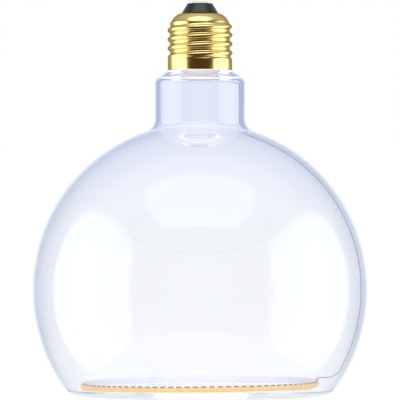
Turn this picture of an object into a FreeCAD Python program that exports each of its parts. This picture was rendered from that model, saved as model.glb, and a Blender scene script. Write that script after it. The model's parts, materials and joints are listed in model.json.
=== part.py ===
import FreeCAD, Part
import math
import os

V = FreeCAD.Vector

# Driving dimensions of the glass, in millimetres and degrees
globe_radius = 67.5
globe_cut = 24.7
glass_wall = 1.6
floor_thickness = 3.0
outer_corner = 8.5
inner_corner = 2.2
neck_radius = 18.2
neck_fillet = 5.0
neck_length = 16.0
shoulder_slope = 33.0
shoulder_round = 3.1
collar_radius = 11.2
collar_height = 7.0

# Driving dimensions of the screw cap
crest_radius = 13.1
root_radius = 12.0
thread_pitch = 3.629
thread_start = 6.9
crest_sharpness = 1.25
skirt_radius = 12.95
skirt_height = 4.0
run_in = 2.4
run_out = 3.0
thread_lift = 2.8
shell_height = 23.05
shell_wall = 0.3
dome_round = 5.8
cap_hole = 5.9

# Driving dimensions of the insulator and the centre contact
insulator_base = 7.35
insulator_top = 5.0
insulator_height = 3.85
insulator_edge = 0.35
flange_reach = 0.3
flange_thickness = 1.6
contact_radius = 3.1
contact_height = 1.3
contact_edge = 0.8
shank_radius = 1.2
shank_drop = 0.5

# Driving dimensions of the driver that sits inside the cap
seal_bulge = 3.2
slot_depth = 1.6
board_width = 16.0
board_height = 11.0
board_thickness = 1.0
wire_radius = 0.25
capacitor_radius = 3.15
capacitor_length = 7.0
capacitor_bead = 0.25
capacitor_bead_lift = 1.0
capacitor_edge = 0.4
capacitor_lift = 1.2
package_stand = 0.15
package_edge = 0.28
foot_thickness = 0.2
foot_width = 0.45
foot_reach = 0.9
rectifier_size = (4.6, 3.8, 1.5)
rectifier_lift = 6.2
driver_size = (4.9, 3.6, 1.4)
driver_lift = 1.1
chip_resistor_size = (1.6, 0.8, 0.5)
chip_resistor_spacing = 2.4
chip_resistor_margin = 0.8
resistor_radius = 1.2
resistor_length = 5.0
resistor_edge = 0.4
resistor_place = 2.4
resistor_lift = 2.2
neutral_place = 1.8
neutral_lift = 7.4
neutral_rise = 2.8
hookup_bend = 0.8
live_rise = 0.995
lead_place = 1.0
lead_overlap = 3.0

# Driving dimensions of the light strip and its two leads
strip_inset = 3.37
strip_height = 2.4
strip_gap = 0.6
strip_tilt = 0.6
carrier_thickness = 0.3
coat_thickness = 0.7
coat_height = 1.55
coat_lift = 0.15
chip_pitch = 3.2
chip_size = (0.9, 0.5, 0.25)
pad_size = (2.0, 0.45, 0.1)
pad_margin = 0.08
tab_length = 1.6
tab_thickness = 0.3
tab_rise = 0.4
tab_reach = 0.4
lead_bend = 1.2
lead_slope = 17.0
lead_drop = 0.3
lead_foot_bend = 6.5
lead_end_bend = 0.4
lead_end_run = 0.1

# Clearances
bond_gap = 0.05
seat_gap = 0.02
lead_gap = 0.3

# Distance within which two edges count as one
match = 0.001

AXIS = V(0, 0, 1)
ORIGIN = V(0, 0, 0)


def point(radius, height):
    return V(radius, 0, height)


def line(start, end):
    return Part.LineSegment(start, end).toShape()


def arc(centre, radius, start_angle, end_angle):
    """Circular arc in the plane of the axis, angles in degrees from the outward direction."""
    turn = [math.radians(a) for a in (start_angle, (start_angle + end_angle) / 2, end_angle)]
    a, b, c = [centre + V(radius * math.cos(t), 0, radius * math.sin(t)) for t in turn]
    return Part.Arc(a, b, c).toShape()


def joined(points):
    return [line(a, b) for a, b in zip(points, points[1:])]


def turned(edges, angle=360):
    """Solid of revolution of one closed outline about the axis."""
    face = Part.Face(Part.Wire(Part.__sortEdges__(edges)))
    return face.revolve(ORIGIN, AXIS, angle)


def turned_points(points, angle=360):
    return turned(joined(points + points[:1]), angle)


def block(size, centre):
    corner = V(*centre) - V(*size) * 0.5
    return Part.makeBox(*size, corner)


def bent_wire(corners, radii, radius):
    """Round wire along straight runs, with a tangent arc of the given radius at each inner corner."""
    edges = []
    last = corners[0]
    for before, corner, after, bend in zip(corners, corners[1:], corners[2:], radii):
        back = (before - corner).normalize()
        ahead = (after - corner).normalize()
        half = back.getAngle(ahead) / 2
        reach = bend / math.tan(half)
        inward = (back + ahead).normalize()
        middle = corner + inward * (bend / math.sin(half) - bend)
        edges.append(line(last, corner + back * reach))
        edges.append(Part.Arc(corner + back * reach, middle, corner + ahead * reach).toShape())
        last = corner + ahead * reach
    edges.append(line(last, corners[-1]))
    return round_wire(edges, radius)


def round_wire(edges, radius):
    path = Part.Wire(edges)
    start = edges[0].valueAt(edges[0].FirstParameter)
    heading = edges[0].tangentAt(edges[0].FirstParameter)
    section = Part.Face(Part.Wire(Part.makeCircle(radius, start, heading)))
    return path.makePipe(section)


def save(name, shape):
    shape.exportStep("parts/" + name + ".step")
    print(name, len(shape.Solids), "solids", round(shape.Volume, 2), "mm3", shape.isValid())


# Heights and radii that follow from the driving dimensions
slope = math.radians(shoulder_slope)
globe_centre = globe_radius - globe_cut
junction_radius = neck_radius + neck_fillet
junction_height = globe_centre + math.sqrt((globe_radius + neck_fillet) ** 2 - junction_radius**2)
neck_top = junction_height + neck_length
inner_skirt = skirt_radius - shell_wall
collar_bore = collar_radius - glass_wall


def shoulder_height(radius, inset=0.0):
    """Height of the sloping shoulder at a radius, on the surface that lies inset below the outer one."""
    return neck_top + (neck_radius - radius) * math.tan(slope) - inset / math.cos(slope)


cap_seat = shoulder_height(inner_skirt) + bond_gap
collar_top = cap_seat + collar_height
skirt_top = cap_seat + skirt_height
shell_top = cap_seat + shell_height
dome_height = shell_top - dome_round
thread_end = dome_height + thread_lift
land_radius = root_radius - dome_round


# Glass envelope, blown in one piece: flat bottom, globe, neck, shoulder and collar
def glass_outline(inset, floor, corner):
    """Outline from the axis on the floor to the top of the collar, and its last point."""
    radius = globe_radius - inset
    drop = globe_centre - floor - corner
    corner_radius = math.sqrt((radius - corner) ** 2 - drop**2)
    low_angle = -math.degrees(math.atan2(drop, corner_radius))
    fillet_centre = point(junction_radius, junction_height)
    high_angle = math.degrees(math.atan2(junction_height - globe_centre, junction_radius))
    neck = neck_radius - inset
    bend = shoulder_round - inset
    bend_centre = point(neck - bend, 0)
    bend_centre.z = shoulder_height(neck, inset) - bend * math.tan((math.pi / 2 - slope) / 2)
    bend_end = bend_centre + V(bend * math.sin(slope), 0, bend * math.cos(slope))
    collar = collar_radius - inset
    collar_foot = point(collar, shoulder_height(collar, inset))
    rim = point(collar, collar_top)
    edges = [
        line(point(0, floor), point(corner_radius, floor)),
        arc(point(corner_radius, floor + corner), corner, -90, low_angle),
        arc(point(0, globe_centre), radius, low_angle, high_angle),
        arc(fillet_centre, neck_fillet + inset, high_angle + 180, 180),
        line(point(neck, junction_height), point(neck, bend_centre.z)),
        arc(bend_centre, bend, 0, 90 - shoulder_slope),
        line(bend_end, collar_foot),
        line(collar_foot, rim),
    ]
    return edges, rim


outer_edges, outer_rim = glass_outline(0, 0, outer_corner)
inner_edges, inner_rim = glass_outline(glass_wall, floor_thickness, inner_corner)
floor_flat = inner_edges[0].Length
rim_edge = line(outer_rim, inner_rim)
axis_edge = line(point(0, floor_thickness), ORIGIN)
glass_envelope = turned(outer_edges + inner_edges + [rim_edge, axis_edge])


# Screw shell, drawn from thin brass sheet with the round thread rolled into it
def eased(share):
    share = min(max(share, 0.0), 1.0)
    return share * share * (3 - 2 * share)


def shell_radius(angle, height, inset):
    """Radius of one face of the rolled sheet: the thread grows out of the skirt and fades on the dome."""
    turns = (height - cap_seat - thread_start) / thread_pitch - angle / (2 * math.pi)
    wave = (0.5 + 0.5 * math.cos(2 * math.pi * turns)) ** crest_sharpness
    rolled_in = eased((height - skirt_top) / run_in)
    rolled_out = eased((thread_end - height) / run_out)
    rise = max(height - dome_height, 0.0)
    root = land_radius + math.sqrt((dome_round - inset) ** 2 - rise**2)
    thread = root + (crest_radius - root_radius) * rolled_out * wave
    skirt = skirt_radius - inset
    return skirt + (thread - skirt) * rolled_in


def rolled_face(inset):
    """The threaded sheet as one smooth closed surface, inset inside the outer one.

    Its control points lie on the rolled form, evenly spaced round the axis and along it.
    A quintic spline cuts inside its control points, and swell brings it back to the true radius.
    """
    columns = 48
    rows = 72
    step = 2 * math.pi / columns
    swell = 60 / (33 + 26 * math.cos(step) + math.cos(2 * step))
    knots = list(range(rows + 1))
    clamped = [0] * 3 + knots + [rows] * 3
    poles = []
    for i in range(columns):
        angle = step * (i - 2)
        column = []
        for j in range(rows + 3):
            share = sum(clamped[j + 1 : j + 4]) / 3 / rows
            height = skirt_top + (thread_end - skirt_top) * share
            radius = shell_radius(angle, height, inset) * swell
            column.append(V(radius * math.cos(angle), radius * math.sin(angle), height))
        poles.append(column)
    round_knots = list(range(columns + 1))
    round_counts = [1] * (columns + 1)
    along_counts = [4] + [1] * (rows - 1) + [4]
    surface = Part.BSplineSurface()
    surface.buildFromPolesMultsKnots(
        poles, round_counts, along_counts, round_knots, knots, True, False, 5, 3
    )
    return surface.toShape()


def plain_faces():
    """The turned faces of the shell: skirt, dome, land and both rims."""
    edges = [line(point(inner_skirt, cap_seat), point(skirt_radius, cap_seat))]
    edges.append(line(point(cap_hole, shell_top - shell_wall), point(cap_hole, shell_top)))
    for inset in (0, shell_wall):
        wall = skirt_radius - inset
        edges.append(line(point(wall, cap_seat), point(wall, skirt_top)))
        dome = dome_round - inset
        dome_start = math.degrees(math.asin(thread_lift / dome))
        edges.append(arc(point(land_radius, dome_height), dome, dome_start, 90))
        edges.append(line(point(land_radius, shell_top - inset), point(cap_hole, shell_top - inset)))
    return [edge.revolve(ORIGIN, AXIS, 360) for edge in edges]


sheet = Part.makeCompound(plain_faces() + [rolled_face(0), rolled_face(shell_wall)])
sheet.sewShape(match)
screw_shell = Part.Solid(sheet.Shells[0])
if screw_shell.Volume < 0:
    screw_shell.reverse()

# Insulator: a black cone on the land of the shell, keyed through its hole by a flange
flange_top = shell_top - shell_wall - seat_gap
flange_bottom = flange_top - flange_thickness
insulator_crown = shell_top + insulator_height
bore = shank_radius + bond_gap
throat = cap_hole - bond_gap
insulator_blank = turned_points([
    point(bore, flange_bottom),
    point(land_radius + flange_reach, flange_bottom),
    point(land_radius + flange_reach, flange_top),
    point(throat, flange_top),
    point(throat, shell_top),
    point(insulator_base, shell_top),
    point(insulator_top, insulator_crown),
    point(bore, insulator_crown),
])


def circles_at(shape, radius, height):
    """The circular edges of a turned solid that have this radius and lie at this height."""
    found = []
    for edge in shape.Edges:
        box = edge.BoundBox
        flat = box.ZLength < match and abs(box.ZMin - height) < match
        if flat and abs(box.XMax - radius) < match:
            found.append(edge)
    return found


crown_edges = circles_at(insulator_blank, insulator_top, insulator_crown)
cap_insulator = insulator_blank.makeFillet(insulator_edge, crown_edges)

# Centre contact: a plated button whose shank passes through the insulator
contact_top = insulator_crown + contact_height
shank_bottom = flange_bottom - shank_drop
button = Part.makeCylinder(contact_radius, contact_height, point(0, insulator_crown))
button = button.makeFillet(contact_edge, circles_at(button, contact_radius, contact_top))
shank = Part.makeCylinder(shank_radius, insulator_crown - shank_bottom, point(0, shank_bottom))
centre_contact = button.fuse(shank).removeSplitter()

# Cement that fills the space between the collar of the glass and the skirt of the shell
cement_inner = collar_radius + bond_gap
cement_outer = inner_skirt - bond_gap
cap_cement = turned_points([
    point(cement_inner, shoulder_height(cement_inner) + bond_gap),
    point(cement_outer, shoulder_height(cement_outer) + bond_gap),
    point(cement_outer, skirt_top),
    point(cement_inner, skirt_top),
])

# Neck seal: a plug in the bore of the collar, domed below, slotted for the board above
seal_radius = collar_bore - bond_gap
seal_foot = shoulder_height(collar_bore, glass_wall)
dome_radius = (seal_radius**2 + seal_bulge**2) / (2 * seal_bulge)
dome_centre = point(0, seal_foot - seal_bulge + dome_radius)
dome_edge = math.degrees(math.asin((dome_radius - seal_bulge) / dome_radius))
seal_blank = turned([
    arc(dome_centre, dome_radius, -90, -dome_edge),
    line(point(seal_radius, seal_foot), point(seal_radius, collar_top)),
    line(point(seal_radius, collar_top), point(0, collar_top)),
    line(point(0, collar_top), point(0, seal_foot - seal_bulge)),
])
board_foot = collar_top - slot_depth
slot = block(
    (board_width + 2 * bond_gap, board_thickness + 2 * bond_gap, slot_depth),
    (0, 0, board_foot + slot_depth / 2),
)
lead_offset = board_thickness / 2 + wire_radius
lead_line = board_width / 2 - lead_place
neck_seal = seal_blank.cut(slot)
for side in (1, -1):
    hole_foot = V(lead_line, side * lead_offset, seal_foot - seal_bulge)
    hole = Part.makeCylinder(wire_radius + bond_gap, collar_top - hole_foot.z, hole_foot)
    neck_seal = neck_seal.cut(hole)

# Driver board, standing in the slot of the seal
board_floor = board_foot + seat_gap
board_top = board_floor + board_height
board_face = board_thickness / 2
driver_board = block(
    (board_width, board_thickness, board_height),
    (0, 0, board_floor + board_height / 2),
)


def leaded_package(size, feet, lift):
    """Moulded package on the near face of the board, with bent feet along its two upright sides."""
    width, height, depth = size
    face = -board_face
    low = collar_top + lift
    body = block((width, depth, height), (0, face - package_stand - depth / 2, low + height / 2))
    front = body.BoundBox.YMin
    front_edges = [edge for edge in body.Edges if edge.BoundBox.YMax < front + match]
    solid = body.makeChamfer(package_edge, front_edges)
    rise = package_stand + depth / 2
    half_reach = foot_reach / 2
    shin = (foot_thickness, rise, foot_width)
    arm = (half_reach + foot_thickness, foot_thickness, foot_width)
    for side in (1, -1):
        for i in range(feet):
            height_here = low + height * (i + 0.5) / feet
            knee = side * (width / 2 + half_reach)
            arm_middle = knee - side * half_reach / 2
            toe_middle = knee + side * half_reach / 2
            solid = solid.fuse(block(shin, (knee, face - rise / 2, height_here)))
            solid = solid.fuse(block(arm, (arm_middle, face - rise + foot_thickness / 2, height_here)))
            solid = solid.fuse(block(arm, (toe_middle, face - foot_thickness / 2, height_here)))
    return solid.removeSplitter()


bridge_rectifier = leaded_package(rectifier_size, 2, rectifier_lift)
driver_chip = leaded_package(driver_size, 4, driver_lift)

# Two chip resistors on the near face of the board, beside the driver chip
chip_resistors = []
for i in (0, 1):
    width, height, depth = chip_resistor_size
    place = (
        -board_width / 2 + chip_resistor_margin + width / 2,
        -board_face - depth / 2,
        collar_top + driver_lift + height / 2 + i * chip_resistor_spacing,
    )
    chip_resistors.append(block((width, depth, height), place))
sense_resistors = Part.makeCompound(chip_resistors)

# Smoothing capacitor: a rolled can lying against the far face of the board
can_low = collar_top + capacitor_lift
can = Part.makeCylinder(capacitor_radius, capacitor_length, point(0, can_low))
can = can.makeFillet(capacitor_edge, circles_at(can, capacitor_radius, can_low + capacitor_length))
groove_centre = point(0, can_low + capacitor_bead_lift)
groove = Part.makeTorus(capacitor_radius + capacitor_bead / 2, capacitor_bead, groove_centre)
smoothing_capacitor = can.cut(groove)
smoothing_capacitor.translate(V(0, board_face + capacitor_radius + seat_gap, 0))

# Fusible resistor and the live lead that joins the board through it to the centre contact
resistor_low = collar_top + resistor_lift
resistor_depth = board_face + resistor_radius + seat_gap
resistor_foot = V(resistor_place - board_width / 2, resistor_depth, resistor_low)
resistor_head = resistor_foot + AXIS * resistor_length
fusible_resistor = Part.makeCylinder(resistor_radius, resistor_length, resistor_foot)
resistor_ends = [e for e in fusible_resistor.Edges if e.BoundBox.ZLength < match]
fusible_resistor = fusible_resistor.makeFillet(resistor_edge, resistor_ends)
elbow_height = board_top + live_rise
upper_lead = bent_wire(
    [
        resistor_head + AXIS * seat_gap,
        V(resistor_head.x, resistor_head.y, elbow_height),
        V(0, 0, elbow_height),
        V(0, 0, shank_bottom - seat_gap),
    ],
    [hookup_bend, hookup_bend],
    wire_radius,
)
lower_lead = bent_wire(
    [
        resistor_foot - AXIS * seat_gap,
        resistor_foot - AXIS * 2 * hookup_bend,
        V(resistor_foot.x, board_face + seat_gap, resistor_foot.z - 2 * hookup_bend),
    ],
    [hookup_bend],
    wire_radius,
)
live_lead = Part.makeCompound([upper_lead, lower_lead])

# Neutral lead: from the near face of the board to the inner wall of the shell, which it springs against
spring_radius = root_radius - shell_wall - wire_radius - bond_gap
neutral_line = board_width / 2 - neutral_place
spring_depth = math.sqrt(spring_radius**2 - neutral_line**2)
neutral_height = collar_top + neutral_lift
neutral_lead = bent_wire(
    [
        V(neutral_line, -board_face - seat_gap, neutral_height),
        V(neutral_line, -spring_depth, neutral_height),
        V(neutral_line, -spring_depth, neutral_height + neutral_rise),
    ],
    [hookup_bend],
    wire_radius,
)

# Light strip: a flexible ribbon standing on edge on the glass floor, bent to an open ring
coat_radius = floor_flat - strip_inset
carrier_outer = coat_radius - coat_thickness
carrier_inner = carrier_outer - carrier_thickness
strip_foot = floor_thickness
strip_top = strip_foot + strip_height
half_gap = math.degrees(strip_gap / 2 / carrier_outer)
ring_span = 360 - 2 * half_gap
tilt_anchor = V(-carrier_outer, 0, strip_foot + seat_gap)


def on_strip(shape):
    """Places a piece of the strip: lifted off the glass and raised towards the ends of the ring."""
    shape.translate(AXIS * seat_gap)
    shape.rotate(tilt_anchor, V(0, 1, 0), -strip_tilt)
    return shape


def ring_piece(edges, start_angle, span):
    piece = turned(edges, span)
    piece.rotate(ORIGIN, AXIS, start_angle)
    return piece


def ring_block(inner, outer, low, high, start_angle, span):
    corners = [point(inner, low), point(outer, low), point(outer, high), point(inner, high)]
    return ring_piece(joined(corners + corners[:1]), start_angle, span)


def around_ring(length, low, height, depth):
    """Small blocks of one size on the outer face of the carrier, at even steps round the ring."""
    span = math.degrees(length / carrier_outer)
    count = int(ring_span / math.degrees(chip_pitch / carrier_outer))
    step = ring_span / count
    blocks = []
    for i in range(count):
        start = half_gap + (i + 0.5) * step - span / 2
        blocks.append(ring_block(carrier_outer, carrier_outer + depth, low, low + height, start, span))
    return blocks


carrier = ring_block(carrier_inner, carrier_outer, strip_foot, strip_top, half_gap, ring_span)
strip_carrier = on_strip(carrier)

coat_foot = strip_foot + coat_lift
coat_top = coat_foot + coat_height
chip_length, chip_height, chip_depth = chip_size
chip_foot = coat_foot + (coat_height - chip_height) / 2
chips = around_ring(chip_length, chip_foot, chip_height, chip_depth)
coat_edges = [
    line(point(carrier_outer, coat_top), point(carrier_outer, coat_foot)),
    Part.Arc(
        point(carrier_outer, coat_foot),
        point(coat_radius, (coat_foot + coat_top) / 2),
        point(carrier_outer, coat_top),
    ).toShape(),
]
coat = ring_piece(coat_edges, half_gap, ring_span)
phosphor_coat = on_strip(coat.cut(chips))
led_chips = Part.makeCompound([on_strip(chip) for chip in chips])

pad_length, pad_height, pad_depth = pad_size
pads = around_ring(pad_length, strip_top - pad_margin - pad_height, pad_height, pad_depth)
strip_pads = Part.makeCompound([on_strip(pad) for pad in pads])


# End terminals: tinned tabs against the inner face of the ribbon, folded over its upper edge
tab_span = math.degrees(tab_length / carrier_outer)


def strip_terminal(start_angle):
    back = carrier_inner - seat_gap
    fold = strip_top + seat_gap
    outline = [
        point(back - tab_thickness, strip_foot + tab_rise),
        point(back, strip_foot + tab_rise),
        point(back, fold),
        point(carrier_outer + tab_reach, fold),
        point(carrier_outer + tab_reach, fold + tab_rise),
        point(back - tab_thickness, fold + tab_rise),
    ]
    return on_strip(ring_piece(joined(outline + outline[:1]), start_angle, tab_span))


strip_terminal_positive = strip_terminal(half_gap)
strip_terminal_negative = strip_terminal(-half_gap - tab_span)

# Leads: from the board through the seal, down the inside of the neck and the globe to the terminals
standoff = glass_wall + lead_gap + wire_radius
lead_wall = neck_radius - standoff
tab_middle = (carrier_inner + carrier_outer + tab_reach) / 2
tab_top = max(v.Z for v in strip_terminal_positive.Vertexes)
lead_end = tab_top + seat_gap
foot_run = lead_end + lead_end_run + lead_end_bend
globe_bend = globe_radius - standoff
foot_drop = globe_centre - foot_run - lead_foot_bend
foot_centre = math.sqrt((globe_bend - lead_foot_bend) ** 2 - foot_drop**2)
foot_angle = -math.degrees(math.atan2(foot_drop, foot_centre))
slant = math.radians(lead_slope)
turn_reach = lead_bend * math.tan((math.pi / 2 - slant) / 2)
seal_underside = dome_centre.z - math.sqrt(dome_radius**2 - (lead_line - wire_radius) ** 2)
lead_exit = seal_underside - lead_drop - turn_reach
slant_foot = lead_exit - (lead_wall - lead_line) * math.tan(slant)
neck_angle = math.degrees(math.atan2(junction_height - globe_centre, junction_radius))


def lead_path():
    """The route of one lead in the plane of the axis: down, out to the wall, along it and in to the strip."""
    fall = V(0, 0, -1)
    out = V(math.cos(slant), 0, -math.sin(slant))
    first = point(lead_line, lead_exit)
    second = point(lead_wall, slant_foot)
    edges = [line(point(lead_line, collar_top + lead_overlap), first - fall * turn_reach)]
    edges.append(arc(first + V(lead_bend, 0, turn_reach), lead_bend, 180, 270 - lead_slope))
    edges.append(line(first + out * turn_reach, second - out * turn_reach))
    edges.append(arc(second + V(-lead_bend, 0, -turn_reach), lead_bend, 90 - lead_slope, 0))
    edges.append(line(second + fall * turn_reach, point(lead_wall, junction_height)))
    fillet_centre = point(junction_radius, junction_height)
    edges.append(arc(fillet_centre, junction_radius - lead_wall, 180, 180 + neck_angle))
    edges.append(arc(point(0, globe_centre), globe_bend, neck_angle, foot_angle))
    edges.append(arc(point(foot_centre, foot_run + lead_foot_bend), lead_foot_bend, foot_angle, -90))
    edges.append(line(point(foot_centre, foot_run), point(tab_middle + lead_end_bend, foot_run)))
    end_centre = point(tab_middle + lead_end_bend, foot_run - lead_end_bend)
    edges.append(arc(end_centre, lead_end_bend, 90, 180))
    edges.append(line(point(tab_middle, foot_run - lead_end_bend), point(tab_middle, lead_end)))
    return edges


def lead_wire(side):
    wire = round_wire(lead_path(), wire_radius)
    wire.translate(V(0, side * lead_offset, 0))
    return wire


os.makedirs("parts", exist_ok=True)
save("glass_envelope", glass_envelope)
save("screw_shell", screw_shell)
save("cap_insulator", cap_insulator)
save("centre_contact", centre_contact)
save("cap_cement", cap_cement)
save("neck_seal", neck_seal)
save("driver_board", driver_board)
save("bridge_rectifier", bridge_rectifier)
save("driver_chip", driver_chip)
save("sense_resistors", sense_resistors)
save("smoothing_capacitor", smoothing_capacitor)
save("fusible_resistor", fusible_resistor)
save("live_lead", live_lead)
save("neutral_lead", neutral_lead)
save("strip_carrier", strip_carrier)
save("led_chips", led_chips)
save("phosphor_coat", phosphor_coat)
save("strip_pads", strip_pads)
save("strip_terminal_positive", strip_terminal_positive)
save("strip_terminal_negative", strip_terminal_negative)
save("lead_wire_positive", lead_wire(1))
save("lead_wire_negative", lead_wire(-1))
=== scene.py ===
# %% [markdown]
# # A clear globe bulb with a ring of light
# The bulb is one blown piece of clear glass with a flat bottom, closed by a brass screw cap.
# A yellow light strip lies as a ring on the inside of the bottom, fed by two thin leads.
# The solids of the part come in as a frame, and every piece made here sits exactly where its solid is.
# The bulb is measured in millimetres, which MM turns into the metres of the scene.

# %% Load the frame
import json
import math

import bmesh
import bpy
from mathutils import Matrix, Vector


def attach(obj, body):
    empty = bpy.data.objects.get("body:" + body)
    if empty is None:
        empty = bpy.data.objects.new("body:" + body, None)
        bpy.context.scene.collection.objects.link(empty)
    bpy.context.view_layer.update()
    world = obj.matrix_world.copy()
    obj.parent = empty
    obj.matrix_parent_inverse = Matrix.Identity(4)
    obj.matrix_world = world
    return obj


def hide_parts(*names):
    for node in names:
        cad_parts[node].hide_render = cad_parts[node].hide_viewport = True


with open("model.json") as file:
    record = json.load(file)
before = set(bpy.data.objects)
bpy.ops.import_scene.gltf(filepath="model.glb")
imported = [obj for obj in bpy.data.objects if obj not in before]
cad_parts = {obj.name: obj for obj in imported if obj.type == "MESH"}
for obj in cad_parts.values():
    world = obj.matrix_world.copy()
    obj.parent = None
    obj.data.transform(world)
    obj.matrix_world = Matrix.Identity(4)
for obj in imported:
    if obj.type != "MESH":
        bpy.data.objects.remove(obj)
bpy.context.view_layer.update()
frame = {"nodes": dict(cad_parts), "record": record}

MM = 0.001
scene = bpy.context.scene
scene.view_settings.view_transform = "Standard"

# %% [markdown]
# ## Camera
# The photograph was taken from far away with a long lens, so the bulb shows almost no perspective.
# The flat bottom is seen from just a little above, which puts the lens at the middle of the bulb's height.
# A camera could be tilted to frame the cap, but the upright sides stay parallel if it looks level
# and the frame is shifted upwards instead.

# %% Place the camera
view_width = 161.0
lens_height = 67.6
lens_distance = 1800.0
frame_middle = 78.9

camera_data = bpy.data.cameras.new("studio_camera")
camera_data.sensor_width = 36.0
camera_data.lens = camera_data.sensor_width * lens_distance / view_width
camera_data.shift_y = (frame_middle - lens_height) / view_width
camera_data.clip_end = 100.0
camera = bpy.data.objects.new("studio_camera", camera_data)
camera.location = (0.0, -lens_distance * MM, lens_height * MM)
camera.rotation_euler = (math.radians(90), 0.0, 0.0)
scene.collection.objects.link(camera)
scene.camera = camera
print("focal length", round(camera_data.lens, 1), "shift", round(camera_data.shift_y, 4))

# %% [markdown]
# ## Studio
# Clear glass has no look of its own: it shows the room, bent and mirrored.
# The bulb stands on white paper in front of a white backdrop. Two tall soft lamps stand at its sides
# and one hangs over it. Between backdrop and lamps the room is darker, and that draws the blue lines
# along the glass walls. The room in front is dark, and gives the brass its dark middle.
# All of this could be built as walls and cards, but one world does it with fewer parts:
# it gives each ray a colour by the direction in which it leaves the bulb.

# %% Directions in the room
room = bpy.data.worlds.new("studio_room")
scene.world = room
room.use_nodes = True
room.cycles.sampling_method = "NONE"
nodes = room.node_tree.nodes
links = room.node_tree.links
nodes.clear()


def worked_out(operation, value, other=0.0):
    """The result of a sum on a node output; the other value is a number or an output too."""
    node = nodes.new("ShaderNodeMath")
    node.operation = operation
    links.new(value, node.inputs[0])
    if isinstance(other, float):
        node.inputs[1].default_value = other
    else:
        links.new(other, node.inputs[1])
    return node.outputs["Value"]


direction = nodes.new("ShaderNodeTexCoord")
split = nodes.new("ShaderNodeSeparateXYZ")
links.new(direction.outputs["Generated"], split.inputs["Vector"])
height = split.outputs["Z"]
sideways = worked_out("ABSOLUTE", split.outputs["X"])
turned_away = worked_out("DIVIDE", worked_out("ARCCOSINE", split.outputs["Y"]), math.pi)
rays = nodes.new("ShaderNodeLightPath")
print("direction nodes", len(nodes))

# %% [markdown]
# The walls are bands of colour from straight behind the bulb to straight in front of it,
# and these are the tools that paint them: a ramp over the angle, a share that grows along a value,
# a plain tone, and a choice between two colours.

# %% Tools for the walls
def room_bands(bands):
    """A colour ramp over the angle, in degrees, between a direction and straight behind the bulb."""
    ramp = nodes.new("ShaderNodeValToRGB")
    stops = ramp.color_ramp.elements
    while len(stops) < len(bands):
        stops.new(0.5)
    for stop, (angle, colour) in zip(stops, bands):
        stop.position = angle / 180
        stop.color = (*colour, 1.0)
    links.new(turned_away, ramp.inputs["Fac"])
    return ramp.outputs["Color"]


def share_of(value, start, end):
    """A share that grows smoothly from 0 to 1 while a value goes from start to end."""
    share = nodes.new("ShaderNodeMapRange")
    share.interpolation_type = "SMOOTHSTEP"
    share.inputs["From Min"].default_value = start
    share.inputs["From Max"].default_value = end
    links.new(value, share.inputs["Value"])
    return share.outputs["Result"]


def plain(*colour):
    """A colour that is the same in every direction."""
    tone = nodes.new("ShaderNodeRGB")
    tone.outputs["Color"].default_value = (*colour, 1.0)
    return tone.outputs["Color"]


def pick(share, if_not, if_so):
    """One colour where the share is 0, the other where it is 1, and a mix between."""
    mix = nodes.new("ShaderNodeMix")
    mix.data_type = "RGBA"
    links.new(share, mix.inputs["Factor"])
    links.new(if_not, mix.inputs["A"])
    links.new(if_so, mix.inputs["B"])
    return mix.outputs["Result"]


white = (1.0, 1.0, 1.0)
paper_white = plain(*white)
print("tools for the walls ready")

# %% [markdown]
# Glass and mirrors get bands of their own, because a wall that glass bends into a line
# is a wide field in the brass. For glass, white comes again straight to the sides and nearly so
# straight in front, so that it keeps its lines when the bulb is seen from there.
# Low down, glass sees the paper.

# %% Walls seen through glass
through_glass = room_bands([
    (2.5, white),
    (8, (0.90, 0.94, 1.0)),
    (14, (0.76, 0.83, 0.96)),
    (22, (0.52, 0.58, 0.75)),
    (32, (0.38, 0.44, 0.62)),
    (42, (0.34, 0.40, 0.57)),
    (68, (0.44, 0.50, 0.67)),
    (80, (0.87, 0.92, 1.0)),
    (90, white),
    (100, (0.87, 0.92, 1.0)),
    (112, (0.44, 0.50, 0.67)),
    (150, (0.44, 0.50, 0.67)),
    (164, (0.70, 0.77, 0.97)),
    (176, (0.84, 0.89, 1.0)),
])
through_glass = pick(share_of(height, -0.12, -0.35), through_glass, paper_white)
print("room nodes", len(nodes))

# %% [markdown]
# Mirrors see the dark room in front and a pale ceiling straight up. They see the paper below
# only to the left and the right: in front of the bulb, the cap looks over it into the dark.

# %% Walls seen in mirrors
mirrored = room_bands([
    (6, white),
    (18, (0.68, 0.76, 0.92)),
    (32, (0.46, 0.51, 0.62)),
    (54, (0.60, 0.62, 0.65)),
    (108, (0.20, 0.17, 0.13)),
    (130, (0.085, 0.055, 0.02)),
    (170, (0.075, 0.045, 0.012)),
])
mirrored = pick(share_of(height, 0.55, 0.95), mirrored, plain(0.7, 0.7, 0.7))
paper_beside = worked_out("MULTIPLY", share_of(height, -0.38, -0.60), share_of(sideways, 0.35, 0.60))
mirrored = pick(paper_beside, mirrored, paper_white)
print("room nodes", len(nodes))

# %% [markdown]
# A ray that has crossed many faces of the glass has gathered light from all over the room,
# so it ends in plain white. The lens itself sees white, and dull surfaces get an even grey light.

# %% Which ray sees what
through_glass = pick(share_of(rays.outputs["Ray Depth"], 5.0, 7.0), through_glass, paper_white)
seen = pick(rays.outputs["Is Glossy Ray"], plain(0.55, 0.56, 0.58), mirrored)
seen = pick(rays.outputs["Is Transmission Ray"], seen, through_glass)
seen = pick(rays.outputs["Is Camera Ray"], seen, paper_white)
background = nodes.new("ShaderNodeBackground")
links.new(seen, background.inputs["Color"])
room_output = nodes.new("ShaderNodeOutputWorld")
links.new(background.outputs["Background"], room_output.inputs["Surface"])
print("room nodes", len(nodes))

# %% [markdown]
# Each lamp is a flat panel behind cloth, even in the middle, with rounded corners and a soft edge.
# A plain panel would show in the glass as a hard white square. The distance from the middle is measured
# with fourth powers, which gives a square with round corners, and the light fades close to its edge.

# %% A soft edge for a lamp
fade_start = 0.78
corner_power = 4.0


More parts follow.
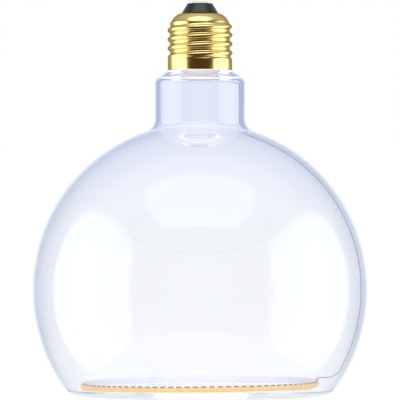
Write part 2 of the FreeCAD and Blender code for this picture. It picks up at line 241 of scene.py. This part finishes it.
def soften_edge(data):
    """Lets the light of a panel fade towards its edge."""
    nodes = data.node_tree.nodes
    links = data.node_tree.links
    spot = nodes.new("ShaderNodeNewGeometry")
    sides = nodes.new("ShaderNodeSeparateXYZ")
    links.new(spot.outputs["Parametric"], sides.inputs["Vector"])
    to_edge = nodes.new("ShaderNodeMath")
    for place, side in enumerate("XY"):
        from_middle = nodes.new("ShaderNodeMath")
        from_middle.operation = "MULTIPLY_ADD"
        from_middle.inputs[1].default_value = 2.0
        from_middle.inputs[2].default_value = -1.0
        raised = nodes.new("ShaderNodeMath")
        raised.operation = "POWER"
        raised.inputs[1].default_value = corner_power
        links.new(sides.outputs[side], from_middle.inputs[0])
        links.new(from_middle.outputs["Value"], raised.inputs[0])
        links.new(raised.outputs["Value"], to_edge.inputs[place])
    edge_share = nodes.new("ShaderNodeMath")
    edge_share.operation = "POWER"
    edge_share.inputs[1].default_value = 1 / corner_power
    fade = nodes.new("ShaderNodeMapRange")
    fade.interpolation_type = "SMOOTHSTEP"
    fade.inputs["From Min"].default_value = fade_start
    fade.inputs["To Min"].default_value = 1.0
    fade.inputs["To Max"].default_value = 0.0
    links.new(to_edge.outputs["Value"], edge_share.inputs[0])
    links.new(edge_share.outputs["Value"], fade.inputs["Value"])
    links.new(fade.outputs["Result"], nodes["Emission"].inputs["Strength"])


print("lamps fade from", fade_start, "of the way to their edge")

# %% [markdown]
# The place of a lamp follows from its mirror image on the globe: a spot on a ball mirrors the room
# at twice the angle that its face turns away from the lens.
# The tall lamps reach below the floor, as their images on the glass do.
# Rays that have gone through glass pass the lamps. If they met them, the outline of the glass
# would drown in white as soon as the bulb is seen from the side.
# The lamp in front brightens the dull pieces only: mirrors pass it too, so the brass stays dark there.

# %% Hang the lamps
def soft_lamp(name, place, turn, size, radiance):
    """A lamp panel at a place, with its two sides in metres, its turn in degrees and its radiance."""
    data = bpy.data.lights.new(name, "AREA")
    data.shape = "RECTANGLE"
    data.size, data.size_y = size
    # a panel's radiance is a quarter of its power per square metre
    data.energy = 4.0 * size[0] * size[1] * radiance
    data.use_nodes = True
    soften_edge(data)
    lamp = bpy.data.objects.new(name, data)
    lamp.location = place
    lamp.rotation_euler = [math.radians(angle) for angle in turn]
    lamp.visible_camera = False
    lamp.visible_transmission = False
    scene.collection.objects.link(lamp)
    print(name, "power", round(data.energy, 2))
    return lamp


soft_lamp("left_lamp", (-1.0, -0.20, 0.05), (90, 0, -90), (1.58, 1.72), 1.35)
soft_lamp("right_lamp", (1.0, -0.15, 0.03), (90, 0, 90), (1.62, 1.64), 1.35)
soft_lamp("top_lamp", (0.0, -0.58, 1.04), (0, 0, 0), (1.42, 1.08), 1.20)
front_lamp = soft_lamp("front_lamp", (0.0, -2.20, 0.35), (82, 0, 0), (1.20, 1.20), 8.5)
front_lamp.visible_glossy = False

# %% [markdown]
# The paper under the bulb is a plain plane. A part of its white is a glow of its own,
# so that it stays white up to the horizon, and the rest comes from the lamps,
# so that it keeps the bulb's shadow. Far out the lamps give less, so the glow grows a little there.

# %% Floor finish
floor_grey = 0.60
near_glow, far_glow = 0.62, 0.72
glow_start, glow_end = 0.5, 3.0

floor_material = bpy.data.materials.new("studio_floor")
floor_material.use_nodes = True
nodes = floor_material.node_tree.nodes
links = floor_material.node_tree.links
nodes.clear()
paper = nodes.new("ShaderNodeBsdfDiffuse")
paper.inputs["Color"].default_value = (floor_grey, floor_grey, floor_grey, 1.0)
glow = nodes.new("ShaderNodeEmission")
spot = nodes.new("ShaderNodeTexCoord")
reach = nodes.new("ShaderNodeVectorMath")
reach.operation = "LENGTH"
glow_strength = nodes.new("ShaderNodeMapRange")
glow_strength.inputs["From Min"].default_value = glow_start
glow_strength.inputs["From Max"].default_value = glow_end
glow_strength.inputs["To Min"].default_value = near_glow
glow_strength.inputs["To Max"].default_value = far_glow
links.new(spot.outputs["Object"], reach.inputs[0])
links.new(reach.outputs["Value"], glow_strength.inputs["Value"])
links.new(glow_strength.outputs["Result"], glow.inputs["Strength"])
both = nodes.new("ShaderNodeAddShader")
floor_output = nodes.new("ShaderNodeOutputMaterial")
links.new(paper.outputs["BSDF"], both.inputs[0])
links.new(glow.outputs["Emission"], both.inputs[1])
links.new(both.outputs["Shader"], floor_output.inputs["Surface"])
print("floor nodes", len(nodes))

# %% [markdown]
# Rays through glass and off mirrors pass the floor, because the lamps reach lower
# and the room has its own paper for them.
# It lies a hair below the bulb: two faces at the same height would show as black specks.

# %% Lay the floor
floor_half = 30.0
floor_drop = 0.05 * MM


def flat_sheet(name, material, half_sides, middle):
    """A level sheet about its middle, with its half sides in metres."""
    bm = bmesh.new()
    bmesh.ops.create_grid(bm, x_segments=1, y_segments=1, size=1.0)
    bmesh.ops.scale(bm, verts=bm.verts[:], vec=(*half_sides, 1.0))
    bmesh.ops.translate(bm, verts=bm.verts[:], vec=middle)
    mesh = bpy.data.meshes.new(name)
    bm.to_mesh(mesh)
    bm.free()
    mesh.materials.append(material)
    sheet = bpy.data.objects.new(name, mesh)
    scene.collection.objects.link(sheet)
    return sheet


floor = flat_sheet("studio_floor", floor_material, (floor_half, floor_half), (0.0, 0.0, -floor_drop))
floor.visible_glossy = False
floor.visible_transmission = False
print("floor laid, sides", 2 * floor_half, "metres")

# %% [markdown]
# The front of the globe mirrors the paper that lies close to it,
# while the cap looks over that paper into the dark.
# A card of light just in front of the bulb stands for the near paper.
# It is clear towards its edges: a card that only grew dark there would show as a black square.

# %% Near paper finish
card_half = (60.0 * MM, 40.0 * MM)
card_forward, card_drop = 85.0 * MM, 0.1 * MM
card_fade_start = 0.5

near_paper = bpy.data.materials.new("near_paper")
near_paper.use_nodes = True
nodes = near_paper.node_tree.nodes
links = near_paper.node_tree.links
nodes.clear()
spot = nodes.new("ShaderNodeTexCoord")
from_middle = nodes.new("ShaderNodeMapping")
from_middle.vector_type = "TEXTURE"
from_middle.inputs["Location"].default_value = (0.0, -card_forward, 0.0)
from_middle.inputs["Scale"].default_value = (*card_half, 1.0)
reach = nodes.new("ShaderNodeVectorMath")
reach.operation = "LENGTH"
fade = nodes.new("ShaderNodeMapRange")
fade.interpolation_type = "SMOOTHSTEP"
fade.inputs["From Min"].default_value = card_fade_start
fade.inputs["To Min"].default_value = 1.0
fade.inputs["To Max"].default_value = 0.0
glow = nodes.new("ShaderNodeEmission")
clear = nodes.new("ShaderNodeBsdfTransparent")
faded = nodes.new("ShaderNodeMixShader")
paper_output = nodes.new("ShaderNodeOutputMaterial")
links.new(spot.outputs["Object"], from_middle.inputs["Vector"])
links.new(from_middle.outputs["Vector"], reach.inputs[0])
links.new(reach.outputs["Value"], fade.inputs["Value"])
links.new(fade.outputs["Result"], faded.inputs["Fac"])
links.new(clear.outputs["BSDF"], faded.inputs[1])
links.new(glow.outputs["Emission"], faded.inputs[2])
links.new(faded.outputs["Shader"], paper_output.inputs["Surface"])
print("near paper nodes", len(nodes))

# %% [markdown]
# Only mirrors see the card: it lights nothing, casts no shadow, and neither the lens
# nor a ray through glass meets it.

# %% Lay the near paper
card = flat_sheet("near_paper", near_paper, card_half, (0.0, -card_forward, -card_drop))
card.visible_camera = False
card.visible_diffuse = False
card.visible_transmission = False
card.visible_shadow = False
print("near paper laid", round(card_forward / MM), "millimetres in front")

# %% [markdown]
# Light that gets caught in the thick floor of the glass runs to and fro there before it leaves.
# Rays may bounce some hundred times, because one that is given up too soon shows as a black streak.

# %% Let rays run on in the glass
most_bounces = 400
scene.cycles.max_bounces = most_bounces
scene.cycles.transmission_bounces = most_bounces
scene.cycles.glossy_bounces = most_bounces
scene.cycles.transparent_max_bounces = 24
print("bounces", scene.cycles.max_bounces)

# %% [markdown]
# ## Drawing and turning a half section
# Glass, cap, insulator and contact are all round, so each is drawn as a half section
# and turned about the axis. The section could be a list of points, but a pen that draws lines and arcs
# keeps the true radii: a line extrudes the last vertex, and an arc spins it about its centre.

# %% A pen for half sections
def start_at(bm, radius, height):
    """Sets the pen down at a radius and a height."""
    return bm.verts.new((radius * MM, 0.0, height * MM))


def line_to(bm, tip, radius, height, cuts=0):
    """Carries the pen straight on to a radius and a height, in even steps with the given cuts between."""
    stride = (Vector((radius * MM, 0.0, height * MM)) - tip.co) / (cuts + 1)
    for _ in range(cuts + 1):
        tip = bmesh.ops.extrude_vert_indiv(bm, verts=[tip])["verts"][0]
        tip.co += stride
    return tip


def arc_to(bm, tip, centre, degrees, steps):
    """Carries the pen round a centre, anticlockwise for a positive angle."""
    made = bmesh.ops.spin(
        bm, geom=[tip], cent=(centre[0] * MM, 0.0, centre[1] * MM), axis=(0.0, -1.0, 0.0),
        angle=math.radians(degrees), steps=steps, use_duplicate=False,
    )
    return [part for part in made["geom_last"] if isinstance(part, bmesh.types.BMVert)][0]


print("pen ready")

# %% [markdown]
# Turning leaves a seam where the last step meets the first, and a heap of vertices where a section
# starts on the axis. Both are welded, or the shading would break there.
# A finished piece rides on the body and stands for its solid, which is hidden.

# %% Turn a section and finish a piece
weld_reach = 0.002 * MM


def turn_section(bm, steps=192):
    """Turns what is drawn once about the upright axis, and closes the seam and the poles."""
    bmesh.ops.spin(
        bm, geom=bm.verts[:] + bm.edges[:], cent=(0.0, 0.0, 0.0), axis=(0.0, 0.0, 1.0),
        angle=math.radians(360), steps=steps, use_merge=True, use_duplicate=False,
    )
    bmesh.ops.remove_doubles(bm, verts=bm.verts[:], dist=weld_reach)
    bmesh.ops.recalc_face_normals(bm, faces=bm.faces[:])


def finish_piece(bm, name, material, node, sharp=35):
    """Makes the object of a piece, shades it smooth up to a sharp angle, and lets it stand for its solid."""
    mesh = bpy.data.meshes.new(name)
    bm.to_mesh(mesh)
    bm.free()
    mesh.polygons.foreach_set("use_smooth", [True] * len(mesh.polygons))
    mesh.set_sharp_from_angle(angle=math.radians(sharp))
    mesh.materials.append(material)
    piece = bpy.data.objects.new(name, mesh)
    scene.collection.objects.link(piece)
    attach(piece, "root")
    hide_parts(node)
    print(name, "faces", len(mesh.polygons))
    return piece


print("sections weld within", weld_reach / MM, "millimetres")

# %% [markdown]
# ## Marks that several finishes share
# Nothing real is one even colour. Fine grain breaks up plastics, pastes and coats,
# and drawn marks run round metal that was rolled or turned. Each is a node group that takes
# the piece's own coordinates and gives a mask from 0 to 1, which each finish uses in its own strength.

# %% Grain and drawn marks as node groups
def marks_group(name, stretch, detail):
    """A group that gives a noise mask, stretched along the axes as asked."""
    group = bpy.data.node_groups.new(name, "ShaderNodeTree")
    group.interface.new_socket("Place", in_out="INPUT", socket_type="NodeSocketVector")
    size_socket = group.interface.new_socket("Fineness", in_out="INPUT", socket_type="NodeSocketFloat")
    size_socket.default_value = 1000.0
    group.interface.new_socket("Mask", in_out="OUTPUT", socket_type="NodeSocketFloat")
    inside = group.nodes.new("NodeGroupInput")
    outside = group.nodes.new("NodeGroupOutput")
    mapping = group.nodes.new("ShaderNodeMapping")
    mapping.inputs["Scale"].default_value = stretch
    noise = group.nodes.new("ShaderNodeTexNoise")
    noise.inputs["Detail"].default_value = detail
    noise.inputs["Roughness"].default_value = 0.6
    spread = group.nodes.new("ShaderNodeMapRange")
    spread.inputs["From Min"].default_value = 0.3
    spread.inputs["From Max"].default_value = 0.7
    group.links.new(inside.outputs["Place"], mapping.inputs["Vector"])
    group.links.new(mapping.outputs["Vector"], noise.inputs["Vector"])
    group.links.new(inside.outputs["Fineness"], noise.inputs["Scale"])
    group.links.new(noise.outputs["Fac"], spread.inputs["Value"])
    group.links.new(spread.outputs["Result"], outside.inputs["Mask"])
    return group


grain_marks = marks_group("grain_marks", (1.0, 1.0, 1.0), 4.0)
drawn_marks = marks_group("drawn_marks", (0.15, 0.15, 6.0), 3.0)
print("groups", grain_marks.name, drawn_marks.name)

# %% [markdown]
# A finish is a Principled shader whose colour runs between two near tones and whose roughness
# runs between two values, both along the mask of its marks, with a slight bump from the same mask.

# %% A finish with marks
relief_depth = 0.05 * MM


def finish_of(name, marks, fineness, tones, roughness, bump, **fixed):
    """A material whose colour and roughness follow a mask; fixed holds the shader's constant sockets."""
    material = bpy.data.materials.new(name)
    material.use_nodes = True
    nodes = material.node_tree.nodes
    links = material.node_tree.links
    shader = nodes["Principled BSDF"]
    place = nodes.new("ShaderNodeTexCoord")
    mask = nodes.new("ShaderNodeGroup")
    mask.node_tree = marks
    mask.inputs["Fineness"].default_value = fineness
    links.new(place.outputs["Object"], mask.inputs["Place"])
    tone = nodes.new("ShaderNodeMix")
    tone.data_type = "RGBA"
    tone.inputs["A"].default_value = (*tones[0], 1.0)
    tone.inputs["B"].default_value = (*tones[1], 1.0)
    links.new(mask.outputs["Mask"], tone.inputs["Factor"])
    links.new(tone.outputs["Result"], shader.inputs["Base Color"])
    gloss = nodes.new("ShaderNodeMapRange")
    gloss.inputs["To Min"].default_value = roughness[0]
    gloss.inputs["To Max"].default_value = roughness[1]
    links.new(mask.outputs["Mask"], gloss.inputs["Value"])
    links.new(gloss.outputs["Result"], shader.inputs["Roughness"])
    relief = nodes.new("ShaderNodeBump")
    relief.inputs["Strength"].default_value = bump
    relief.inputs["Distance"].default_value = relief_depth
    links.new(mask.outputs["Mask"], relief.inputs["Height"])
    links.new(relief.outputs["Normal"], shader.inputs["Normal"])
    for socket, value in fixed.items():
        shader.inputs[socket.replace("_", " ")].default_value = value
    return material


print("finishes have a relief of", relief_depth / MM, "millimetres")

# %% [markdown]
# ## Glass
# The glass has a slight blue cast, which is deeper where the blown wall was drawn out to the neck.
# It could get its colour from the length of glass that a ray runs through, but rays that run along
# the wall would then turn dark, so the tint sits on the faces and grows with the height.

# %% Glass tint
tint_start, tint_end = 45.0, 118.0
globe_tint = (0.980, 0.990, 1.0, 1.0)
neck_tint = (0.897, 0.920, 0.996, 1.0)

glass = bpy.data.materials.new("clear_glass")
glass.use_nodes = True
nodes = glass.node_tree.nodes
links = glass.node_tree.links
shader = nodes["Principled BSDF"]
shader.inputs["Transmission Weight"].default_value = 1.0
shader.inputs["IOR"].default_value = 1.5
shader.inputs["Roughness"].default_value = 0.0
place = nodes.new("ShaderNodeTexCoord")
upright = nodes.new("ShaderNodeSeparateXYZ")
up_share = nodes.new("ShaderNodeMapRange")
up_share.interpolation_type = "SMOOTHSTEP"
up_share.inputs["From Min"].default_value = tint_start * MM
up_share.inputs["From Max"].default_value = tint_end * MM
tint = nodes.new("ShaderNodeMix")
tint.data_type = "RGBA"
tint.inputs["A"].default_value = globe_tint
tint.inputs["B"].default_value = neck_tint
links.new(place.outputs["Object"], upright.inputs["Vector"])
links.new(upright.outputs["Z"], up_share.inputs["Value"])
links.new(up_share.outputs["Result"], tint.inputs["Factor"])
links.new(tint.outputs["Result"], shader.inputs["Base Color"])
print("glass nodes", len(nodes))

# %% [markdown]
# Blown glass is never quite even, so a faint bump with wide waves bends its lines a little.
# Lamps shine straight through the glass onto the strip, by a clear shader that only shadow rays meet:
# otherwise everything inside the bulb would lie in the dark.

# %% Glass waves and shadow
blown = nodes.new("ShaderNodeTexNoise")
blown.inputs["Scale"].default_value = 28.0
blown.inputs["Detail"].default_value = 1.0
waviness = nodes.new("ShaderNodeBump")
waviness.inputs["Strength"].default_value = 0.05
waviness.inputs["Distance"].default_value = 1.0 * MM
links.new(place.outputs["Object"], blown.inputs["Vector"])
links.new(blown.outputs["Fac"], waviness.inputs["Height"])
links.new(waviness.outputs["Normal"], shader.inputs["Normal"])
shadow = nodes.new("ShaderNodeBsdfTransparent")
shadow.inputs["Color"].default_value = (0.95, 0.96, 1.0, 1.0)
rays = nodes.new("ShaderNodeLightPath")
either = nodes.new("ShaderNodeMixShader")
links.new(rays.outputs["Is Shadow Ray"], either.inputs["Fac"])
links.new(shader.outputs["BSDF"], either.inputs[1])
links.new(shadow.outputs["BSDF"], either.inputs[2])
links.new(either.outputs["Shader"], nodes["Material Output"].inputs["Surface"])
print("glass nodes", len(nodes))

# %% [markdown]
# The globe, neck, shoulder and collar are one blown piece.
# Its wall is 1.6 millimetres thick, and its floor is thicker.
# The globe runs into the neck by a fillet, the shoulder slopes in under the cap,
# and the collar goes up inside it. The cap sits where its skirt meets the slope.

# %% Sizes of the glass
globe_radius, globe_height = 67.5, 42.8
glass_wall, glass_floor = 1.6, 3.0
outer_corner, inner_corner = 8.5, 2.2
neck_radius, neck_fillet, neck_length = 18.2, 5.0, 16.0
fillet_radius = neck_radius + neck_fillet
fillet_height = globe_height + math.sqrt((globe_radius + neck_fillet) ** 2 - fillet_radius**2)
neck_top = fillet_height + neck_length
slope, shoulder_round = 33.0, 3.1
collar_radius, collar_height = 11.2, 7.0
skirt_radius, shell_wall, seat_gap = 12.95, 0.3, 0.05
fall = math.tan(math.radians(slope))
cap_seat = neck_top + (neck_radius - skirt_radius + shell_wall) * fall + seat_gap
print("neck top", round(neck_top, 2), "cap seat", round(cap_seat, 2))

# %% [markdown]
# A single skin with a glass shader would bend light as a solid ball does,
# so both faces of the wall are drawn. The inner face is the same line, moved in by the wall.
# The faces above the seat of the cap are the collar, and they are marked here for a finish of their own.

# %% Glass shape
def glass_face(bm, inset, floor, corner):
    """Draws one face of the glass wall from the axis to the rim of the collar, and gives the rim."""
    radius = globe_radius - inset
    drop = globe_height - floor - corner
    corner_place = math.sqrt((radius - corner) ** 2 - drop**2)
    low = math.degrees(math.atan2(drop, corner_place))
    high = math.degrees(math.atan2(fillet_height - globe_height, fillet_radius))
    neck, bend = neck_radius - inset, shoulder_round - inset
    lower = inset / math.cos(math.radians(slope))
    bend_height = neck_top - lower + inset * fall - bend * math.tan(math.radians(45 - slope / 2))
    collar = collar_radius - inset
    tip = start_at(bm, 0.0, floor)
    tip = line_to(bm, tip, corner_place, floor, cuts=11)
    tip = arc_to(bm, tip, (corner_place, floor + corner), 90 - low, steps=16)
    tip = arc_to(bm, tip, (0.0, globe_height), low + high, steps=96)
    tip = arc_to(bm, tip, (fillet_radius, fillet_height), -high, steps=16)
    tip = line_to(bm, tip, neck, bend_height, cuts=7)
    tip = arc_to(bm, tip, (neck - bend, bend_height), 90 - slope, steps=12)
    tip = line_to(bm, tip, collar, neck_top + (neck_radius - collar) * fall - lower, cuts=2)
    return line_to(bm, tip, collar, cap_seat + collar_height, cuts=3)


bm = bmesh.new()
outer_rim = glass_face(bm, 0.0, 0.0, outer_corner)
inner_rim = glass_face(bm, glass_wall, glass_floor, inner_corner)
bm.edges.new((outer_rim, inner_rim))
turn_section(bm)
for face in bm.faces:
    middle = face.calc_center_median()
    face.material_index = int(middle.z > cap_seat * MM)
blown_glass = finish_piece(bm, "blown_glass", glass, "glass_envelope", sharp=60)

# %% [markdown]
# On the real bulb, light that runs up inside the wall meets pale cement round the collar
# and is thrown back. In the render no lamp reaches that place, and such rays would come back black.
# So the collar is white, and glows only for rays that meet it from within the wall,
# on the back of its faces.

# %% Collar finish
cement_glow = (0.86, 0.87, 0.90, 1.0)

collar_white = finish_of(
    "collar_white", grain_marks, 900.0, ((0.80, 0.80, 0.80), (0.85, 0.85, 0.85)), (0.8, 0.95), 0.1,
    Emission_Strength=1.0,
)
nodes = collar_white.node_tree.nodes
links = collar_white.node_tree.links
from_within = nodes.new("ShaderNodeNewGeometry")
wall_glow = nodes.new("ShaderNodeMix")
wall_glow.data_type = "RGBA"
wall_glow.inputs["A"].default_value = (0.0, 0.0, 0.0, 1.0)
wall_glow.inputs["B"].default_value = cement_glow
links.new(from_within.outputs["Backfacing"], wall_glow.inputs["Factor"])
links.new(wall_glow.outputs["Result"], nodes["Principled BSDF"].inputs["Emission Color"])
blown_glass.data.materials.append(collar_white)
print("finishes on the glass", len(blown_glass.data.materials))

# %% [markdown]
# ## Screw cap
# The cap is drawn from thin brass sheet. Rolling leaves faint marks that run round it,
# so its tone and its gloss change a little from line to line,
# and a tint for flat glances keeps its rim from turning white.

# %% Brass finish
brass = finish_of(
    "cap_brass", drawn_marks, 260.0, ((0.85, 0.66, 0.27), (0.91, 0.72, 0.32)), (0.16, 0.24), 0.05,
    Metallic=1.0, Specular_Tint=(0.50, 0.42, 0.24, 1.0),
)
print("brass nodes", len(brass.node_tree.nodes))

# %% [markdown]
# The round thread is rolled into the sheet, so it shows inside too. Its section is a row of equal arcs,
# one for each crest and one for each root. A screw sweep would give an even thread with two raw ends.
# Here the radius of the sheet is worked out for every angle and height instead,
# so that the thread grows out of the skirt and fades under the dome as on the real sheet.

# %% Rolled thread
skirt_height, shell_height = 4.0, 23.05
crest_radius, root_radius = 13.1, 12.0
thread_pitch, thread_start = 3.629, 6.9
run_in, run_out, thread_lift = 2.4, 3.0, 2.8
dome_round = 5.8
skirt_top = cap_seat + skirt_height
shell_top = cap_seat + shell_height
dome_height = shell_top - dome_round
thread_end = dome_height + thread_lift
land_radius = root_radius - dome_round


def eased(share):
    """A share from 0 to 1 with a soft start and a soft end."""
    share = min(max(share, 0.0), 1.0)
    return share * share * (3 - 2 * share)


def thread_wave(turns):
    """How far the thread stands out at a number of turns: 1 on a crest, 0 in a root, an arc for each."""
    quarter, half_depth = thread_pitch / 4, (crest_radius - root_radius) / 2
    arc_radius = (quarter**2 + half_depth**2) / (2 * half_depth)
    off_crest = abs(turns - round(turns)) * thread_pitch
    off_nearest = min(off_crest, 2 * quarter - off_crest)
    sunk = (arc_radius - math.sqrt(arc_radius**2 - off_nearest**2)) / (2 * half_depth)
    return 1 - sunk if off_crest < quarter else sunk


def rolled_radius(angle, height):
    """Outer radius of the sheet in millimetres, at an angle in radians and a height in millimetres."""
    turns = (height - cap_seat - thread_start) / thread_pitch - angle / (2 * math.pi)
    rolled_in = eased((height - skirt_top) / run_in)
    rolled_out = eased((thread_end - height) / run_out)
    rise = max(height - dome_height, 0.0)
    root = land_radius + math.sqrt(dome_round**2 - rise**2)
    thread = root + (crest_radius - root_radius) * rolled_out * thread_wave(turns)
    return skirt_radius + (thread - skirt_radius) * rolled_in


print("thread from", round(skirt_top, 2), "to", round(thread_end, 2))

# %% [markdown]
# A plain tube with many rows is turned first. Each vertex of the thread then moves in or out
# to the rolled radius, and the sheet gets its thickness last, so that it is even all along the thread.

# %% Cap shape
cap_hole = 5.9
skirt_edge = 0.3
row_slack = 0.001

bm = bmesh.new()
thread_turn = math.degrees(math.asin(thread_lift / dome_round))
tip = start_at(bm, skirt_radius - skirt_edge / 2, cap_seat)
tip = line_to(bm, tip, skirt_radius, cap_seat + skirt_edge)
tip = line_to(bm, tip, skirt_radius, skirt_top, cuts=5)
tip = line_to(bm, tip, root_radius, dome_height, cuts=143)
tip = arc_to(bm, tip, (land_radius, dome_height), thread_turn, steps=32)
tip = arc_to(bm, tip, (land_radius, dome_height), 90 - thread_turn, steps=14)
tip = line_to(bm, tip, cap_hole, shell_top, cuts=1)
turn_section(bm, steps=176)
for vertex in bm.verts:
    height = vertex.co.z / MM
    if skirt_top - row_slack < height < thread_end + row_slack:
        angle = math.atan2(vertex.co.y, vertex.co.x)
        radius = rolled_radius(angle, height) * MM
        vertex.co.x = radius * math.cos(angle)
        vertex.co.y = radius * math.sin(angle)
bmesh.ops.recalc_face_normals(bm, faces=bm.faces[:])
bmesh.ops.solidify(bm, geom=bm.faces[:], thickness=shell_wall * MM)
finish_piece(bm, "rolled_cap", brass, "screw_shell")

# %% [markdown]
# ## Insulator and contact
# A glossy black cone keeps the contact apart from the shell. Its flange sits below the hole of the shell,
# and the shank of the contact passes through it. Real black is never quite black and mirrors a little,
# so its tones stay just above zero.

# %% Insulator finish and sizes
black_gloss = finish_of(
    "insulator_black", grain_marks, 700.0, ((0.007, 0.007, 0.009), (0.013, 0.013, 0.016)), (0.18, 0.30), 0.08,
    IOR=1.42,
)
insulator_base, insulator_top, insulator_height, insulator_edge = 7.35, 5.0, 3.85, 0.35
flange_gap, flange_thickness, flange_overlap = 0.02, 1.6, 0.3
insulator_play, shank_radius = 0.05, 1.2
flange_top = shell_top - shell_wall - flange_gap
flange_bottom = flange_top - flange_thickness
flange_radius = land_radius + flange_overlap
bore_radius = shank_radius + insulator_play
waist_radius = cap_hole - insulator_play
crown = shell_top + insulator_height
print("insulator from", round(flange_bottom, 2), "to", round(crown, 2))

# %% [markdown]
# The line starts at the bore, runs round the flange and through the hole of the shell, and goes up the cone.
# A sharp edge at the top would catch no light. The arc there starts and ends at its reach from the corner,
# so it touches both the cone and the flat top.

# %% Insulator shape
lean = math.degrees(math.atan2(insulator_base - insulator_top, insulator_height))
edge_reach = insulator_edge * math.tan(math.radians((90 - lean) / 2))
slant_x, slant_z = math.sin(math.radians(lean)), math.cos(math.radians(lean))

bm = bmesh.new()
first = start_at(bm, bore_radius, flange_bottom)
tip = line_to(bm, first, flange_radius, flange_bottom)
tip = line_to(bm, tip, flange_radius, flange_top)
tip = line_to(bm, tip, waist_radius, flange_top)
tip = line_to(bm, tip, waist_radius, shell_top)
tip = line_to(bm, tip, insulator_base, shell_top)
tip = line_to(bm, tip, insulator_top + edge_reach * slant_x, crown - edge_reach * slant_z, cuts=6)
tip = arc_to(bm, tip, (insulator_top - edge_reach, crown - insulator_edge), 90 - lean, steps=6)
tip = line_to(bm, tip, bore_radius, crown)
bm.edges.new((tip, first))
turn_section(bm, steps=128)
finish_piece(bm, "insulator_cone", black_gloss, "cap_insulator")

# %% [markdown]
# The contact is a pale, dull metal button with a round edge and a shank below.
# Its shader is mostly dull with a small share of metal, because a mirror would turn dark in the dark room.

# %% Contact
contact_metal = finish_of(
    "contact_metal", grain_marks, 900.0, ((0.60, 0.595, 0.58), (0.68, 0.675, 0.66)), (0.36, 0.50), 0.25,
    Metallic=0.2,
)
contact_radius, contact_height, contact_edge = 3.1, 1.3, 0.8
shank_tail = 0.5
contact_top = crown + contact_height
shank_bottom = flange_bottom - shank_tail

bm = bmesh.new()
tip = start_at(bm, 0.0, shank_bottom)
tip = line_to(bm, tip, shank_radius, shank_bottom)
tip = line_to(bm, tip, shank_radius, crown)
tip = line_to(bm, tip, contact_radius, crown)
tip = line_to(bm, tip, contact_radius, contact_top - contact_edge)
tip = arc_to(bm, tip, (contact_radius - contact_edge, contact_top - contact_edge), 90, steps=10)
tip = line_to(bm, tip, 0.0, contact_top, cuts=2)
turn_section(bm, steps=96)
finish_piece(bm, "contact_button", contact_metal, "centre_contact")

# %% [markdown]
# ## Finishes of the pieces that keep their solids
# The seal, the light strip, its leads and the driver have the right form already, so their solids stay
# and only get a finish. The strip is the one that shows: a white ribbon, a yellow-orange coat and dark pads.
# Each row holds the marks, their fineness, the two tones, the two values of roughness, and the bump.

# %% Finishes by slot
recipes = {
    "cement": (grain_marks, 900.0, ((0.78, 0.75, 0.70), (0.90, 0.87, 0.82)), (0.8, 0.95), 0.5),
    "seal_silicone": (grain_marks, 240.0, ((0.95, 0.90, 0.91), (0.98, 0.95, 0.96)), (0.30, 0.42), 0.1),
    "board_laminate": (drawn_marks, 500.0, ((0.09, 0.30, 0.17), (0.14, 0.38, 0.23)), (0.25, 0.4), 0.1),
    "package_black": (grain_marks, 2500.0, ((0.022, 0.022, 0.024), (0.04, 0.04, 0.042)), (0.5, 0.65), 0.3),
    "can_aluminium": (drawn_marks, 500.0, ((0.74, 0.74, 0.76), (0.84, 0.84, 0.86)), (0.25, 0.4), 0.1),
    "resistor_body": (grain_marks, 1200.0, ((0.34, 0.49, 0.60), (0.44, 0.60, 0.71)), (0.3, 0.45), 0.15),
    "tinned_wire": (grain_marks, 1500.0, ((0.50, 0.49, 0.52), (0.64, 0.63, 0.66)), (0.3, 0.45), 0.15),
    "strip_ribbon": (grain_marks, 600.0, ((0.78, 0.75, 0.82), (0.85, 0.82, 0.89)), (0.45, 0.6), 0.1),
    "chip_body": (grain_marks, 2500.0, ((0.90, 0.84, 0.62), (0.96, 0.91, 0.74)), (0.4, 0.55), 0.1),
    "phosphor": (grain_marks, 420.0, ((0.99, 0.56, 0.11), (1.0, 0.68, 0.19)), (0.30, 0.45), 0.15),
    "strip_copper": (grain_marks, 1800.0, ((0.20, 0.11, 0.14), (0.32, 0.19, 0.20)), (0.35, 0.5), 0.15),
}
metal_share = {"can_aluminium": 1.0, "tinned_wire": 1.0, "strip_copper": 0.5}
finishes = {}
for slot, recipe in recipes.items():
    finishes[slot] = finish_of(slot, *recipe, Metallic=metal_share.get(slot, 0.0))
print("finishes", len(finishes))

# %% [markdown]
# The record of the part says which slot each solid has. The four solids that were drawn again
# have slots of their own, so they are left out here.

# %% Give the solids their finishes
for part in frame["record"]["subparts"]:
    finish = finishes.get(part["material_slot"])
    if finish:
        solid = frame["nodes"][part["node"]]
        solid.data.materials.clear()
        solid.data.materials.append(finish)
        print(part["node"], "gets", finish.name)
